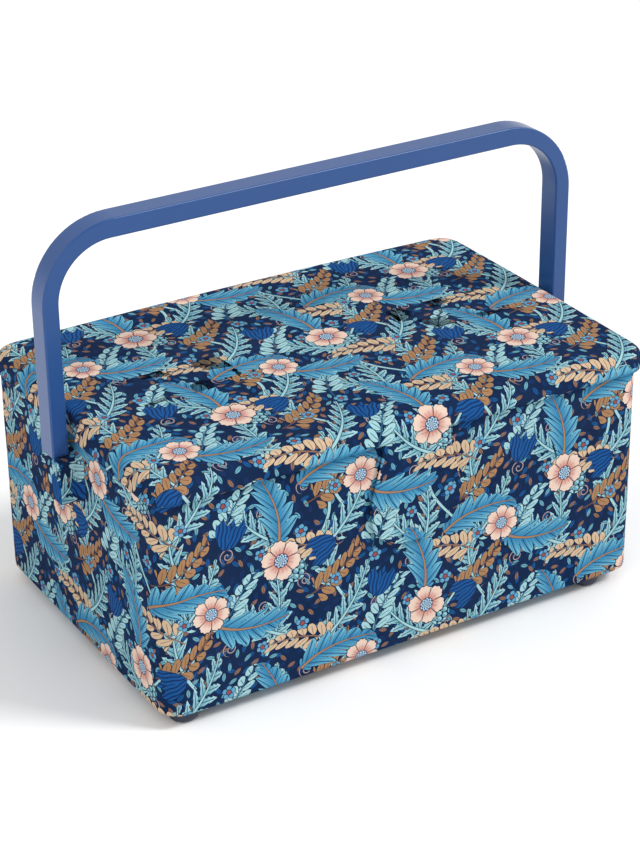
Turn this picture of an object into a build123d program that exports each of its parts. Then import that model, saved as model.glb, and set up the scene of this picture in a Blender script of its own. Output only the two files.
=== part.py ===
from build123d import *
import math
import os

# A fabric-covered sewing box: a bent board wall on four feet, a padded lid on a cloth hinge,
# a closure tab, a moulded bow handle that folds back, and a lift-out tray.
# Millimetres. +X runs right along the front, +Y to the back, +Z up.
# The origin is on the plane that the feet stand on, under the middle of the whole object.
# The shapes are drawn about the box's own middle, and moved back by CENTRING when written.

# Box body
BOX_LENGTH = 300.0
BOX_DEPTH = 197.0
WALL_HEIGHT = 125.0
CORNER_RADIUS = 13.0
COVER = 1.0
BOARD = 4.0
LINING = 1.0
BASE_BOARD = 3.5
BASE_PAD = 2.0
HEM = 15.0

# Feet
FOOT_HEIGHT = 8.0
FOOT_RADIUS = 8.0
FOOT_EDGE = 3.0
FOOT_INSET_LEFT = 15.5
FOOT_INSET_RIGHT = 25.0
FOOT_INSET_DEPTH = 12.5
FOOT_SCREW_RADIUS = 1.5
FOOT_SCREW_HEAD_RADIUS = 3.0
FOOT_SCREW_HEAD = 1.2
FOOT_SCREW_BITE = 5.0

# Lid
LID_GAP = 0.4
LID_HEIGHT = 14.5
LID_OVERHANG = 3.2
LID_CORNER_RADIUS = 15.0
LID_EDGE_RADIUS = 7.0
LID_CROWN = 2.5
LID_HEM_CLOTH = 0.8
LID_HEM = 15.0
LID_LINING = 2.4
LID_LINING_CLEARANCE = 2.5
LID_NOTCH_HALF = 14.0

# Cloth hinge along the back
HINGE_CLOTH = 0.8
HINGE_LENGTH = 270.0
HINGE_LEAF = 13.0
HINGE_UPPER_LEAF = 6.0
HINGE_CLEARANCE = 0.5

# Closure tab
TAB_LENGTH = 61.0
TAB_TOP_HALF = 21.0
TAB_WIDE_HALF = 28.0
TAB_WIDE_AT = 38.0
TAB_TOP_GAP = 0.4
TAB_WALL_GAP = 0.4
TAB_CLOTH = 0.8
MAGNET_RADIUS = 6.0
MAGNET_THICKNESS = 1.2
MAGNET_DROP = 38.0

# Handle
HANDLE_RISE = 116.5
HANDLE_WIDTH = 14.4
LEG_GAP = 4.4
LEG_THICKNESS = 9.2
BAR_THICKNESS = 10.5
BEND_OUTER = 43.0
BEND_INNER = 31.0
HANDLE_EDGE = 1.0
TANG_WIDTH = 8.0
TANG_THICKNESS = 4.8
TANG_STEP = 1.0
SHOULDER_CLEARANCE = 0.4

# Handle bracket and pivot
PIVOT_DROP = 27.0
BRACKET_RISE = 18.0
BRACKET_FOOT = 7.0
BRACKET_FRONT = 13.5
BRACKET_BACK = 9.0
BRACKET_HEEL = 4.0
BRACKET_SKIN = 0.6
BRACKET_EDGE = 2.5
PIN_RADIUS = 2.0
PIN_CLEARANCE = 0.08
PIN_SEAT = 3.0
POCKET_CLEARANCE = 0.3
FOLD_LIMIT = 126.0
PLATE_THICKNESS = 1.2
PLATE_HALF_WIDTH = 7.0
PLATE_HALF_HEIGHT = 11.0
SCREW_RADIUS = 1.5
SCREW_HEAD_RADIUS = 2.8
SCREW_HEAD = 1.4
SCREW_BITE = 3.2
SCREW_HALF_SPAN = 6.5

# Tray and its ledges
TRAY_HEIGHT = 28.0
TRAY_DROP = 13.0
TRAY_WALL = 1.8
TRAY_SIDE_CLEARANCE = 3.0
TRAY_END_CLEARANCE = 4.0
TRAY_CORNER_RADIUS = 6.0
TRAY_LONG_DIVIDER = 14.0
TRAY_FRONT_CELLS = (0.25, 0.5, 0.25)
TRAY_BACK_CELLS = (0.2, 0.2, 0.2, 0.2, 0.2)
TRAY_SEAT_GAP = 0.3
FINGER_RADIUS = 16.0
FINGER_DEPTH = 10.0
LEDGE_WIDTH = 10.0
LEDGE_HEIGHT = 6.0
LEDGE_LENGTH = 160.0

# Pieces on the lid's inside
CUSHION_LENGTH = 84.0
CUSHION_DEPTH = 56.0
CUSHION_HEIGHT = 8.5
CUSHION_EDGE = 3.5
CUSHION_CORNER = 12.0
CUSHION_INSET = 26.0
POUCH_LENGTH = 130.0
POUCH_DEPTH = 74.0
POUCH_HEIGHT = 7.0
POUCH_CLOTH = 1.2
POUCH_CORNER = 8.0
POUCH_INSET = 30.0
ELASTIC_WIDTH = 6.0
ELASTIC_THICKNESS = 0.8
LID_PIECES_Y = 4.0

# Heights and faces that follow from those sizes
BASE_BOTTOM = FOOT_HEIGHT
BASE_TOP = BASE_BOTTOM + COVER + BASE_BOARD
RIM = BASE_BOTTOM + WALL_HEIGHT
WALL = COVER + BOARD + LINING
END_FACE = BOX_LENGTH / 2
BACK_FACE = BOX_DEPTH / 2
LID_BOTTOM = RIM + LID_GAP
LID_TOP = LID_BOTTOM + LID_HEIGHT
LID_FRONT = -(BACK_FACE + LID_OVERHANG)
PIVOT_HEIGHT = RIM - PIVOT_DROP
LEG_INNER = END_FACE + LEG_GAP
LEG_OUTER = LEG_INNER + LEG_THICKNESS
SHOULDER = PIVOT_HEIGHT + BRACKET_RISE + SHOULDER_CLEARANCE
TANG_INNER = LEG_INNER + TANG_STEP
TANG_OUTER = TANG_INNER + TANG_THICKNESS
TRAY_TOP = RIM - TRAY_DROP
TRAY_BOTTOM = TRAY_TOP - TRAY_HEIGHT
LEDGE_TOP = TRAY_BOTTOM - TRAY_SEAT_GAP
LINING_FACE = LID_BOTTOM - LID_LINING
CUSHION_X = END_FACE - CUSHION_INSET - CUSHION_LENGTH / 2
POUCH_X = -(END_FACE - POUCH_INSET - POUCH_LENGTH / 2)
CENTRING = (LID_OVERHANG - HINGE_CLOTH) / 2
REACH = 400.0


def block(x_low, x_high, y_low, y_high, z_low, z_high):
    """A plain box between two corners."""
    centre = Pos((x_low + x_high) / 2, (y_low + y_high) / 2, (z_low + z_high) / 2)
    return centre * Box(x_high - x_low, y_high - y_low, z_high - z_low)


def rod(radius, start, end):
    """A round bar from one point to another along an axis."""
    start, end = Vector(*start), Vector(*end)
    plane = Plane(origin=start, z_dir=end - start)
    return extrude(plane * Circle(radius), amount=(end - start).length)


def box_slab(inset, z_low, z_high):
    """The box's plan, drawn in by an inset, between two heights."""
    plan = RectangleRounded(BOX_LENGTH - 2 * inset, BOX_DEPTH - 2 * inset, CORNER_RADIUS - inset)
    return Pos(0, 0, z_low) * extrude(plan, amount=z_high - z_low)


def box_ring(outer_inset, inner_inset, z_low, z_high):
    """A band of the box's plan between two insets."""
    return box_slab(outer_inset, z_low, z_high) - box_slab(inner_inset, z_low, z_high)


def hemmed_opening(inset):
    """The square-cornered middle of the plan, inside a turned hem."""
    return Rectangle(BOX_LENGTH - 2 * inset, BOX_DEPTH - 2 * inset)


def other_end(shape):
    """The same piece on the left end."""
    return mirror(shape, about=Plane.YZ)


# Feet, and the screws that hold them to the base board
def foot_places():
    left = -(END_FACE - FOOT_INSET_LEFT)
    right = END_FACE - FOOT_INSET_RIGHT
    depth = BACK_FACE - FOOT_INSET_DEPTH
    return {
        "foot_front_left": (left, -depth),
        "foot_front_right": (right, -depth),
        "foot_back_left": (left, depth),
        "foot_back_right": (right, depth),
    }


def foot(x, y):
    button = Cylinder(FOOT_RADIUS, FOOT_HEIGHT, align=(Align.CENTER, Align.CENTER, Align.MIN))
    button = fillet(button.edges().group_by(Axis.Z)[0], FOOT_EDGE)
    return Pos(x, y, 0) * button - foot_screw(x, y)


def foot_screw(x, y):
    head = rod(FOOT_SCREW_HEAD_RADIUS, (x, y, BASE_TOP - FOOT_SCREW_HEAD), (x, y, BASE_TOP))
    shank = rod(FOOT_SCREW_RADIUS, (x, y, BASE_BOTTOM - FOOT_SCREW_BITE), (x, y, BASE_TOP - FOOT_SCREW_HEAD))
    return head + shank


def foot_screws():
    return [foot_screw(x, y) for x, y in foot_places().values()]


# Handle bracket on the right end, drawn in the Y-Z plane through its pivot
def bracket_profile(skin):
    """The bracket seen from its end. Its top is rounded about the pivot, where the leg swings over."""
    top = BRACKET_RISE - skin
    bottom = -(BRACKET_FOOT - skin)
    front = -(BRACKET_FRONT - skin)
    back = BRACKET_BACK - skin
    front_part = Pos(front / 2, (top + bottom) / 2) * Rectangle(-front, top - bottom)
    back_part = Pos(back / 2, (top + bottom) / 2) * Rectangle(back, top - bottom)
    profile = front_part + (back_part & Circle(top))
    corners = profile.vertices().group_by(Axis.X)
    profile = fillet(corners[0], BRACKET_EDGE - skin / 2)
    heel = profile.vertices().group_by(Axis.X)[-1].sort_by(Axis.Y)[0]
    return fillet(heel, BRACKET_HEEL - skin / 2)


def pocket_profile():
    """The room that the handle's tang sweeps as it folds back."""
    half = TANG_WIDTH / 2 + POCKET_CLEARANCE
    reach = BRACKET_RISE + BRACKET_BACK
    limit = math.radians(FOLD_LIMIT)
    folded = Vector(math.sin(limit), math.cos(limit))
    under = Vector(-math.cos(limit), math.sin(limit)) * -half
    halfway = Vector(-math.sin(limit / 2), -math.cos(limit / 2)) * half
    with BuildSketch(Plane.XY) as profile:
        with BuildLine():
            ThreePointArc((-half, 0), halfway, under)
            Polyline(under, under + folded * reach, (2 * reach, reach), (-half, reach), (-half, 0))
        make_face()
    return profile.sketch


def at_bracket(sketch, x_low, x_high):
    """Draw a sketch of the bracket's Y-Z plane between two X places."""
    plane = Plane(origin=(x_low, 0, PIVOT_HEIGHT), x_dir=(0, 1, 0), z_dir=(1, 0, 0))
    return extrude(plane * sketch, amount=x_high - x_low)


def pocket():
    return at_bracket(pocket_profile(), TANG_INNER - POCKET_CLEARANCE, TANG_OUTER + POCKET_CLEARANCE)


def pin_right():
    start = (END_FACE + PIN_SEAT, 0, PIVOT_HEIGHT)
    end = (LEG_OUTER - BRACKET_SKIN, 0, PIVOT_HEIGHT)
    return rod(PIN_RADIUS, start, end)


def screw_middle():
    """The middle of the bracket's solid front part."""
    y = -(TANG_WIDTH / 2 + BRACKET_FRONT) / 2
    return y, PIVOT_HEIGHT + (BRACKET_RISE - BRACKET_FOOT) / 2


def screw_places():
    y, z = screw_middle()
    return [(y, z - SCREW_HALF_SPAN), (y, z + SCREW_HALF_SPAN)]


def bracket_screw(y, z):
    seat = END_FACE - WALL - PLATE_THICKNESS
    head = rod(SCREW_HEAD_RADIUS, (seat - SCREW_HEAD, y, z), (seat, y, z))
    shank = rod(SCREW_RADIUS, (seat, y, z), (END_FACE + SCREW_BITE, y, z))
    return head + shank


def screws_right():
    return [bracket_screw(y, z) for y, z in screw_places()]


def bracket_right():
    body = at_bracket(bracket_profile(BRACKET_SKIN), END_FACE, LEG_OUTER - BRACKET_SKIN)
    return body - pocket() - pin_right() - screws_right()


def bracket_cover_right():
    outside = at_bracket(bracket_profile(0), END_FACE, LEG_OUTER)
    inside = at_bracket(bracket_profile(BRACKET_SKIN), END_FACE, LEG_OUTER - BRACKET_SKIN)
    return outside - inside - pocket()


def backing_plate_right():
    y, z = screw_middle()
    inner = END_FACE - WALL - PLATE_THICKNESS
    sheet = block(
        inner, END_FACE - WALL,
        y - PLATE_HALF_WIDTH, y + PLATE_HALF_WIDTH,
        z - PLATE_HALF_HEIGHT, z + PLATE_HALF_HEIGHT,
    )
    return sheet - screws_right()


# Box body
def all_bracket_screws():
    return screws_right() + [other_end(screw) for screw in screws_right()]


def wall_magnet():
    front = -(BACK_FACE - COVER)
    height = LID_BOTTOM - MAGNET_DROP
    return rod(MAGNET_RADIUS, (0, front, height), (0, front + MAGNET_THICKNESS, height))


def wall_board():
    ring = box_ring(COVER, COVER + BOARD, BASE_TOP, RIM - COVER)
    return ring - wall_magnet() - all_bracket_screws()


def wall_cover():
    outside = box_ring(0, COVER, BASE_BOTTOM, RIM)
    turned_over = box_ring(COVER, COVER + BOARD, RIM - COVER, RIM)
    underside = box_slab(COVER, BASE_BOTTOM, BASE_BOTTOM + COVER)
    middle = Pos(0, 0, BASE_BOTTOM) * extrude(hemmed_opening(HEM), amount=COVER)
    return outside + turned_over + (underside - middle) - all_bracket_screws() - foot_screws()


def wall_lining():
    ring = box_ring(COVER + BOARD, WALL, BASE_TOP, RIM)
    return ring - all_bracket_screws()


def base_board():
    return box_slab(COVER, BASE_BOTTOM + COVER, BASE_TOP) - foot_screws()


def base_cover():
    sheet = Pos(0, 0, BASE_BOTTOM) * extrude(hemmed_opening(HEM), amount=COVER)
    return sheet - foot_screws()


def base_lining():
    return box_slab(WALL, BASE_TOP, BASE_TOP + BASE_PAD)


def ledge_right():
    wall_face = END_FACE - WALL
    half = LEDGE_LENGTH / 2
    return block(wall_face - LEDGE_WIDTH, wall_face, -half, half, LEDGE_TOP - LEDGE_HEIGHT, LEDGE_TOP)


# Cloth hinge: one leaf glued to the wall's back and one to the lid's back
def hinge_leaf(z_low, z_high):
    half = HINGE_LENGTH / 2
    return block(-half, half, BACK_FACE, BACK_FACE + HINGE_CLOTH, z_low, z_high)


# Lid
def lid_plan(inset):
    """The lid's plan: flush at the back, standing proud at the front and the ends."""
    length = BOX_LENGTH + 2 * LID_OVERHANG - 2 * inset
    depth = BOX_DEPTH + LID_OVERHANG - 2 * inset
    return Pos(0, -LID_OVERHANG / 2) * RectangleRounded(length, depth, LID_CORNER_RADIUS - inset)


def crown_ball(top):
    """A very large ball whose top crowns the lid."""
    half_diagonal = math.hypot(BOX_LENGTH, BOX_DEPTH) / 2
    radius = half_diagonal ** 2 / (2 * LID_CROWN)
    return Pos(0, 0, top - radius) * Sphere(radius)


def lid_notches(growth):
    """Shallow vertical notches in the lid's ends, beside the handle's legs."""
    half = LID_NOTCH_HALF + growth
    right = block(END_FACE - growth, REACH, -half, half, 0, REACH)
    return [right, other_end(right)]


def lid_form(inset, z_low):
    """The padded lid's outside, drawn in by an inset and cut off below a height."""
    top = LID_TOP - inset
    solid = Pos(0, 0, z_low) * extrude(lid_plan(inset), amount=top - z_low)
    solid = solid & crown_ball(top)
    top_face = solid.faces().sort_by(Axis.Z)[-1]
    rounded = fillet(top_face.edges(), LID_EDGE_RADIUS - inset)
    return rounded - lid_notches(inset)


def lid_hem_middle():
    length = BOX_LENGTH - 2 * LID_HEM
    depth = BOX_DEPTH - 2 * LID_HEM
    sheet = extrude(Rectangle(length, depth), amount=LID_HEM_CLOTH)
    return Pos(0, 0, LID_BOTTOM) * sheet


def lid_cover():
    outside = lid_form(0, LID_BOTTOM)
    inside = lid_form(COVER, LID_BOTTOM + LID_HEM_CLOTH)
    return outside - inside - lid_hem_middle()


def lid_board():
    low = LID_BOTTOM + LID_HEM_CLOTH
    solid = Pos(0, 0, low) * extrude(lid_plan(COVER), amount=BOARD)
    return solid - lid_notches(COVER)


def lid_padding():
    return lid_form(COVER, LID_BOTTOM + LID_HEM_CLOTH + BOARD)


def lid_lining():
    inset = WALL + LID_LINING_CLEARANCE
    return box_slab(inset, LINING_FACE, LID_BOTTOM) + lid_hem_middle()


def pin_cushion():
    plan = RectangleRounded(CUSHION_LENGTH, CUSHION_DEPTH, CUSHION_CORNER)
    pad = extrude(plan, amount=-CUSHION_HEIGHT)
    pad = fillet(pad.edges().group_by(Axis.Z)[0], CUSHION_EDGE)
    return Pos(CUSHION_X, LID_PIECES_Y, LINING_FACE) * pad


def pouch_places():
    front = LID_PIECES_Y - POUCH_DEPTH / 2
    back = LID_PIECES_Y + POUCH_DEPTH / 2
    return front, back


def pouch_elastic():
    """The band sewn along the pocket's mouth, which faces the hinge."""
    _, back = pouch_places()
    low = LINING_FACE - POUCH_HEIGHT - ELASTIC_THICKNESS
    half = POUCH_LENGTH / 2 - POUCH_CORNER
    return block(POUCH_X - half, POUCH_X + half, back - ELASTIC_WIDTH, back, low, low + ELASTIC_THICKNESS)


def lid_pocket():
    """A shallow cloth pouch under the lid, open towards the hinge."""
    front, back = pouch_places()
    low = LINING_FACE - POUCH_HEIGHT
    half = POUCH_LENGTH / 2
    pouch = block(POUCH_X - half, POUCH_X + half, front, back, low, LINING_FACE)
    front_corners = pouch.edges().filter_by(Axis.Z).group_by(Axis.Y)[0]
    pouch = fillet(front_corners, POUCH_CORNER)
    room = block(
        POUCH_X - half + POUCH_CLOTH, POUCH_X + half - POUCH_CLOTH,
        front + POUCH_CLOTH, back,
        low + POUCH_CLOTH, LINING_FACE,
    )
    room = fillet(room.edges().filter_by(Axis.Z).group_by(Axis.Y)[0], POUCH_CORNER - POUCH_CLOTH)
    return pouch - room


# Closure tab
def tab_outline(inset):
    """The tab seen from the front: it flares out, then ends in a broad round."""
    top = -TAB_TOP_GAP - inset
    down = (0, -1)
    narrow = (TAB_TOP_HALF - inset, top)
    wide = (TAB_WIDE_HALF - inset, -TAB_WIDE_AT)
    tip = (0, -TAB_LENGTH + inset)
    with BuildSketch(Plane.XY) as outline:
        with BuildLine():
            Spline(narrow, wide, tangents=[down, down])
            Spline(wide, tip, tangents=[down, (-1, 0)])
            Polyline(tip, (0, top), narrow)
        make_face()
        mirror(about=Plane.YZ)
    return outline.sketch


def tab_sheet(inset, y_front, y_back):
    plane = Plane(origin=(0, y_back, LID_BOTTOM), x_dir=(1, 0, 0), z_dir=(0, -1, 0))
    return extrude(plane * tab_outline(inset), amount=y_back - y_front)


TAB_BACK = -(BACK_FACE + TAB_WALL_GAP)


def tab_magnet():
    front = TAB_BACK - TAB_CLOTH - MAGNET_THICKNESS
    height = LID_BOTTOM - MAGNET_DROP
    return rod(MAGNET_RADIUS, (0, front, height), (0, front + MAGNET_THICKNESS, height))


def tab_stiffener():
    sheet = tab_sheet(TAB_CLOTH, LID_FRONT + TAB_CLOTH, TAB_BACK - TAB_CLOTH)
    return sheet - tab_magnet()


def tab_cover():
    outside = tab_sheet(0, LID_FRONT, TAB_BACK)
    inside = tab_sheet(TAB_CLOTH, LID_FRONT + TAB_CLOTH, TAB_BACK - TAB_CLOTH)
    return outside - inside


# Handle
def bow_outline(half_length, top, radius):
    """An arch with rounded shoulders, from the legs' ends up."""
    height = top - SHOULDER
    arch = Pos(0, SHOULDER + height / 2) * Rectangle(2 * half_length, height)
    return fillet(arch.vertices().group_by(Axis.Y)[-1], radius)


def tang_right():
    half = TANG_WIDTH / 2
    stem = Pos(0, (SHOULDER - PIVOT_HEIGHT) / 2) * Rectangle(TANG_WIDTH, SHOULDER - PIVOT_HEIGHT)
    tang = at_bracket(stem + Circle(half), TANG_INNER, TANG_OUTER)
    hole = at_bracket(Circle(PIN_RADIUS + PIN_CLEARANCE), TANG_INNER, TANG_OUTER)
    return tang - hole


def handle_bow():
    top = RIM + HANDLE_RISE
    arch = bow_outline(LEG_OUTER, top, BEND_OUTER)
    arch -= bow_outline(LEG_INNER, top - BAR_THICKNESS, BEND_INNER)
    plane = Plane(origin=(0, HANDLE_WIDTH / 2, 0), x_dir=(1, 0, 0), z_dir=(0, -1, 0))
    bow = extrude(plane * arch, amount=HANDLE_WIDTH)
    long_edges = bow.edges().group_by(Axis.Y)
    bow = fillet(long_edges[0] + long_edges[-1], HANDLE_EDGE)
    return bow + tang_right() + other_end(tang_right())


# Tray
def tray_size():
    length = BOX_LENGTH - 2 * (WALL + TRAY_END_CLEARANCE)
    depth = BOX_DEPTH - 2 * (WALL + TRAY_SIDE_CLEARANCE)
    return length, depth


def cell_spans(shares):
    """The clear X spans of a row of cells, from their shares of the tray's length."""
    length, _ = tray_size()
    clear = length - TRAY_WALL * (len(shares) + 1)
    spans = []
    x = -length / 2 + TRAY_WALL
    for share in shares:
        spans.append((x, x + share * clear))
        x += share * clear + TRAY_WALL
    return spans


def tray_cells():
    _, depth = tray_size()
    half_wall = TRAY_WALL / 2
    front_row = (-depth / 2 + TRAY_WALL, TRAY_LONG_DIVIDER - half_wall)
    back_row = (TRAY_LONG_DIVIDER + half_wall, depth / 2 - TRAY_WALL)
    rows = [(front_row, TRAY_FRONT_CELLS), (back_row, TRAY_BACK_CELLS)]
    cells = []
    for (y_low, y_high), shares in rows:
        for x_low, x_high in cell_spans(shares):
            cells.append(block(x_low, x_high, y_low, y_high, TRAY_BOTTOM + TRAY_WALL, TRAY_TOP))
    return cells


def tray_shell():
    length, depth = tray_size()
    plan = RectangleRounded(length, depth, TRAY_CORNER_RADIUS)
    solid = Pos(0, 0, TRAY_BOTTOM) * extrude(plan, amount=TRAY_HEIGHT)
    inner_plan = RectangleRounded(
        length - 2 * TRAY_WALL, depth - 2 * TRAY_WALL, TRAY_CORNER_RADIUS - TRAY_WALL
    )
    inside = Pos(0, 0, TRAY_BOTTOM) * extrude(inner_plan, amount=TRAY_HEIGHT)
    for cell in tray_cells():
        solid -= cell & inside
    scoop_height = TRAY_TOP + FINGER_RADIUS - FINGER_DEPTH
    scoop = rod(FINGER_RADIUS, (-length, 0, scoop_height), (length, 0, scoop_height))
    middle = block(-length / 2 + 2 * TRAY_WALL, length / 2 - 2 * TRAY_WALL, -REACH, REACH, 0, REACH)
    return solid - (scoop - middle)


os.makedirs("parts", exist_ok=True)


def write(name, shape):
    """Write one node: a single solid, or a group of separate ones."""
    pieces = shape if isinstance(shape, list) else [shape]
    solids = [Pos(0, CENTRING, 0) * solid for piece in pieces for solid in piece.solids()]
    export_step(solids[0] if len(solids) == 1 else Compound(children=solids), f"parts/{name}.step")


def write_pair(name, shape):
    """Write a piece of the right end and its mirror image on the left end."""
    write(f"{name}_right", shape)
    write(f"{name}_left", other_end(shape))


for foot_name, (foot_x, foot_y) in foot_places().items():
    write(foot_name, foot(foot_x, foot_y))
write("foot_screws", foot_screws())
write("base_board", base_board())
write("base_cover", base_cover())
write("base_lining", base_lining())
write("wall_board", wall_board())
write("wall_cover", wall_cover())
write("wall_lining", wall_lining())
write("wall_magnet", wall_magnet())
write("hinge_lower", hinge_leaf(LID_BOTTOM - HINGE_CLEARANCE - HINGE_LEAF, LID_BOTTOM - HINGE_CLEARANCE))
write_pair("tray_ledge", ledge_right())
write_pair("bracket", bracket_right())
write_pair("bracket_cover", bracket_cover_right())
write_pair("backing_plate", backing_plate_right())
write_pair("pivot_pin", pin_right())
write("bracket_screws", all_bracket_screws())

write("lid_board", lid_board())
write("lid_padding", lid_padding())
write("lid_cover", lid_cover())
write("lid_lining", lid_lining())
write("hinge_upper", hinge_leaf(LID_BOTTOM + HINGE_CLEARANCE, LID_BOTTOM + HINGE_CLEARANCE + HINGE_UPPER_LEAF))
write("pin_cushion", pin_cushion())
write("lid_pocket", lid_pocket())
write("pocket_elastic", pouch_elastic())

write("tab_cover", tab_cover())
write("tab_stiffener", tab_stiffener())
write("tab_magnet", tab_magnet())

write("handle_bow", handle_bow())
write("tray_shell", tray_shell())
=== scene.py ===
import bpy
import bmesh
import math
import numpy as np
from mathutils import Matrix, Vector


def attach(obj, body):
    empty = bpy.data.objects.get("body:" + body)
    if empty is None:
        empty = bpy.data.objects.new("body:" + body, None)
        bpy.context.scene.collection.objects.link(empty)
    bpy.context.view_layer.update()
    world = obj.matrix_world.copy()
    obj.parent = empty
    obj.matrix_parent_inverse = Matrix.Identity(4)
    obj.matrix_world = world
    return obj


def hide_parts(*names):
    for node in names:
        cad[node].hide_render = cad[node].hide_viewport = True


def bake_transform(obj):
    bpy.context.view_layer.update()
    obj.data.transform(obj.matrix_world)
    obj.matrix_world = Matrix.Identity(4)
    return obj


# The looks of a fabric-covered sewing box: printed cloth over board, a padded lid,
# a plain lining, a gathered pocket and a pin cushion under the lid.
# Shapes are written in millimetres about the box's own middle, as in the CAD source.

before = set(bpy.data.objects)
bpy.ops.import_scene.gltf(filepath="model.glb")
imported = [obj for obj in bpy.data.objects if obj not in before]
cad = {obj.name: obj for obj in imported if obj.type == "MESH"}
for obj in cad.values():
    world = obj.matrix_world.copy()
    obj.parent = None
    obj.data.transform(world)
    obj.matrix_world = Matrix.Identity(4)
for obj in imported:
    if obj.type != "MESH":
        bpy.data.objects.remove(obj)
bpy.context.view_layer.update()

MM = 0.001
CENTRING = 1.2

# Sizes shared with the CAD model
HALF_LENGTH = 150.0
HALF_DEPTH = 98.5
CORNER = 13.0
BASE = 8.0
RIM = 133.0
WALL = 6.0
BASE_TOP = 12.5
LID_BOTTOM = 133.4
LID_TOP = 147.9
LID_OVERHANG = 3.2
LID_CORNER = 15.0
LID_EDGE = 7.0
LID_CROWN = 2.5
LID_CROWN_REACH = 179.45
LID_HEM = 1.3
NOTCH_HALF = 14.0
LINING_FACE = 131.0
LINING_INSET = 8.5
PIVOT_HEIGHT = 106.0
BRACKET_RISE = 18.0
BRACKET_FOOT = 7.0
BRACKET_FRONT = 13.5
BRACKET_BACK = 9.0
LEG_OUTER = 163.6
TANG_SLOT = (155.1, 160.5)
FOLD_LIMIT = 126.0


def srgb(*screen):
    """A colour given in 0 to 255 screen values, as Blender's linear colour."""
    shares = [value / 255.0 for value in screen]
    linear = [share / 12.92 if share <= 0.04045 else ((share + 0.055) / 1.055) ** 2.4 for share in shares]
    return (*linear, 1.0)


# Formulas written as shader nodes
def math_node(operation, swapped=False):
    """A method that adds one math node. Swapped puts the number itself last."""
    def method(self, *others):
        terms = (*others, self) if swapped else (self, *others)
        return self.net.math(operation, *terms)
    return method


class Field:
    """A number that varies over a surface. Arithmetic on it adds nodes to its net."""

    def __init__(self, net, socket):
        self.net = net
        self.socket = socket

    __add__ = __radd__ = math_node("ADD")
    __mul__ = __rmul__ = math_node("MULTIPLY")
    __sub__ = math_node("SUBTRACT")
    __rsub__ = math_node("SUBTRACT", swapped=True)
    __truediv__ = math_node("DIVIDE")
    times_plus = math_node("MULTIPLY_ADD")
    abs = math_node("ABSOLUTE")
    sin = math_node("SINE")
    root = math_node("SQRT")
    power = math_node("POWER")
    fraction = math_node("FRACT")
    round = math_node("ROUND")
    below = math_node("LESS_THAN")
    above = math_node("GREATER_THAN")
    least = math_node("MINIMUM")
    most = math_node("MAXIMUM")
    angle = math_node("ARCTAN2")
    wrap = math_node("WRAP")

    def clamp(self):
        """The number, held between 0 and 1."""
        return self.net.math("ADD", self, 0.0, clamp=True)


class Net:
    """One material's node tree, and the short calls that add nodes to it."""

    def __init__(self, name):
        self.material = bpy.data.materials.new(name)
        self.material.use_nodes = True
        self.tree = self.material.node_tree
        self.tree.nodes.clear()
        self.shader = self.node("ShaderNodeBsdfPrincipled")
        self.node("ShaderNodeOutputMaterial", {0: Field(self, self.shader.outputs[0])})

    def feed(self, socket, value):
        if isinstance(value, Field):
            self.tree.links.new(value.socket, socket)
        else:
            socket.default_value = value

    def node(self, kind, inputs=None, **settings):
        """A new node, with its settings made and its inputs fed."""
        made = self.tree.nodes.new(kind)
        for name, value in settings.items():
            setattr(made, name, value)
        for place, value in (inputs or {}).items():
            self.feed(made.inputs[place], value)
        return made

    def result(self, kind, inputs, output=0, **settings):
        """What one output of a new node gives."""
        return Field(self, self.node(kind, inputs, **settings).outputs[output])

    def parts(self, kind, whole):
        """The three numbers that a new node splits a vector or a colour into."""
        made = self.node(kind, {0: whole})
        return [Field(self, made.outputs[place]) for place in range(3)]

    def math(self, operation, *terms, clamp=False):
        return self.result("ShaderNodeMath", dict(enumerate(terms)), operation=operation, use_clamp=clamp)

    def split(self, vector):
        return self.parts("ShaderNodeSeparateXYZ", vector)

    def cloth_place(self):
        """The place on the flat cloth, in millimetres."""
        return self.result("ShaderNodeUVMap", {}, uv_map="cloth")

    def solid_place(self):
        """The place in the part's own frame, in millimetres."""
        return self.scaled(self.result("ShaderNodeTexCoord", {}, "Object"), (1000.0, 1000.0, 1000.0))

    def scaled(self, vector, factors):
        """A vector with each of its coordinates scaled."""
        return self.result("ShaderNodeVectorMath", {0: vector, 1: factors}, operation="MULTIPLY")

    def turned(self, x, y, degrees, flip=1.0, foot=0.0):
        """Two coordinates turned by an angle. The second may be flipped, the first moved on."""
        cosine = math.cos(math.radians(degrees))
        sine = math.sin(math.radians(degrees))
        along = y.times_plus(sine, x.times_plus(cosine, foot))
        across = y.times_plus(cosine * flip, x * (-sine * flip))
        return along, across

    def chance(self, seed):
        """Three random numbers from 0 to 1 that depend on a seed."""
        colour = self.result("ShaderNodeTexWhiteNoise", {"W": seed}, "Color", noise_dimensions="1D")
        return self.parts("ShaderNodeSeparateColor", colour)

    def noise(self, vector, scale, detail=2.0, roughness=0.5):
        inputs = {"Vector": vector, "Scale": scale, "Detail": detail, "Roughness": roughness}
        return self.result("ShaderNodeTexNoise", inputs)

    def bump(self, height, distance, strength):
        """A normal that follows a height. The distance is in metres."""
        inputs = {"Strength": strength, "Distance": distance, "Height": height}
        return self.result("ShaderNodeBump", inputs)

    def finished(self, sockets, *relief):
        """The material, once its shader's sockets are fed and its normal follows a relief."""
        if relief:
            sockets["Normal"] = self.bump(*relief)
        for name, value in sockets.items():
            self.feed(self.shader.inputs[name], value)
        return self.material


def mix(share, low, high):
    """A colour between two others."""
    return share.net.result("ShaderNodeMix", {0: share, 6: low, 7: high}, 2, data_type="RGBA")


def ramp(value, low, high, out_low=0.0, out_high=1.0):
    """A smooth step from one number to another."""
    inputs = {"Value": value, "From Min": low, "From Max": high, "To Min": out_low, "To Max": out_high}
    return value.net.result("ShaderNodeMapRange", inputs, interpolation_type="SMOOTHSTEP")


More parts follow.
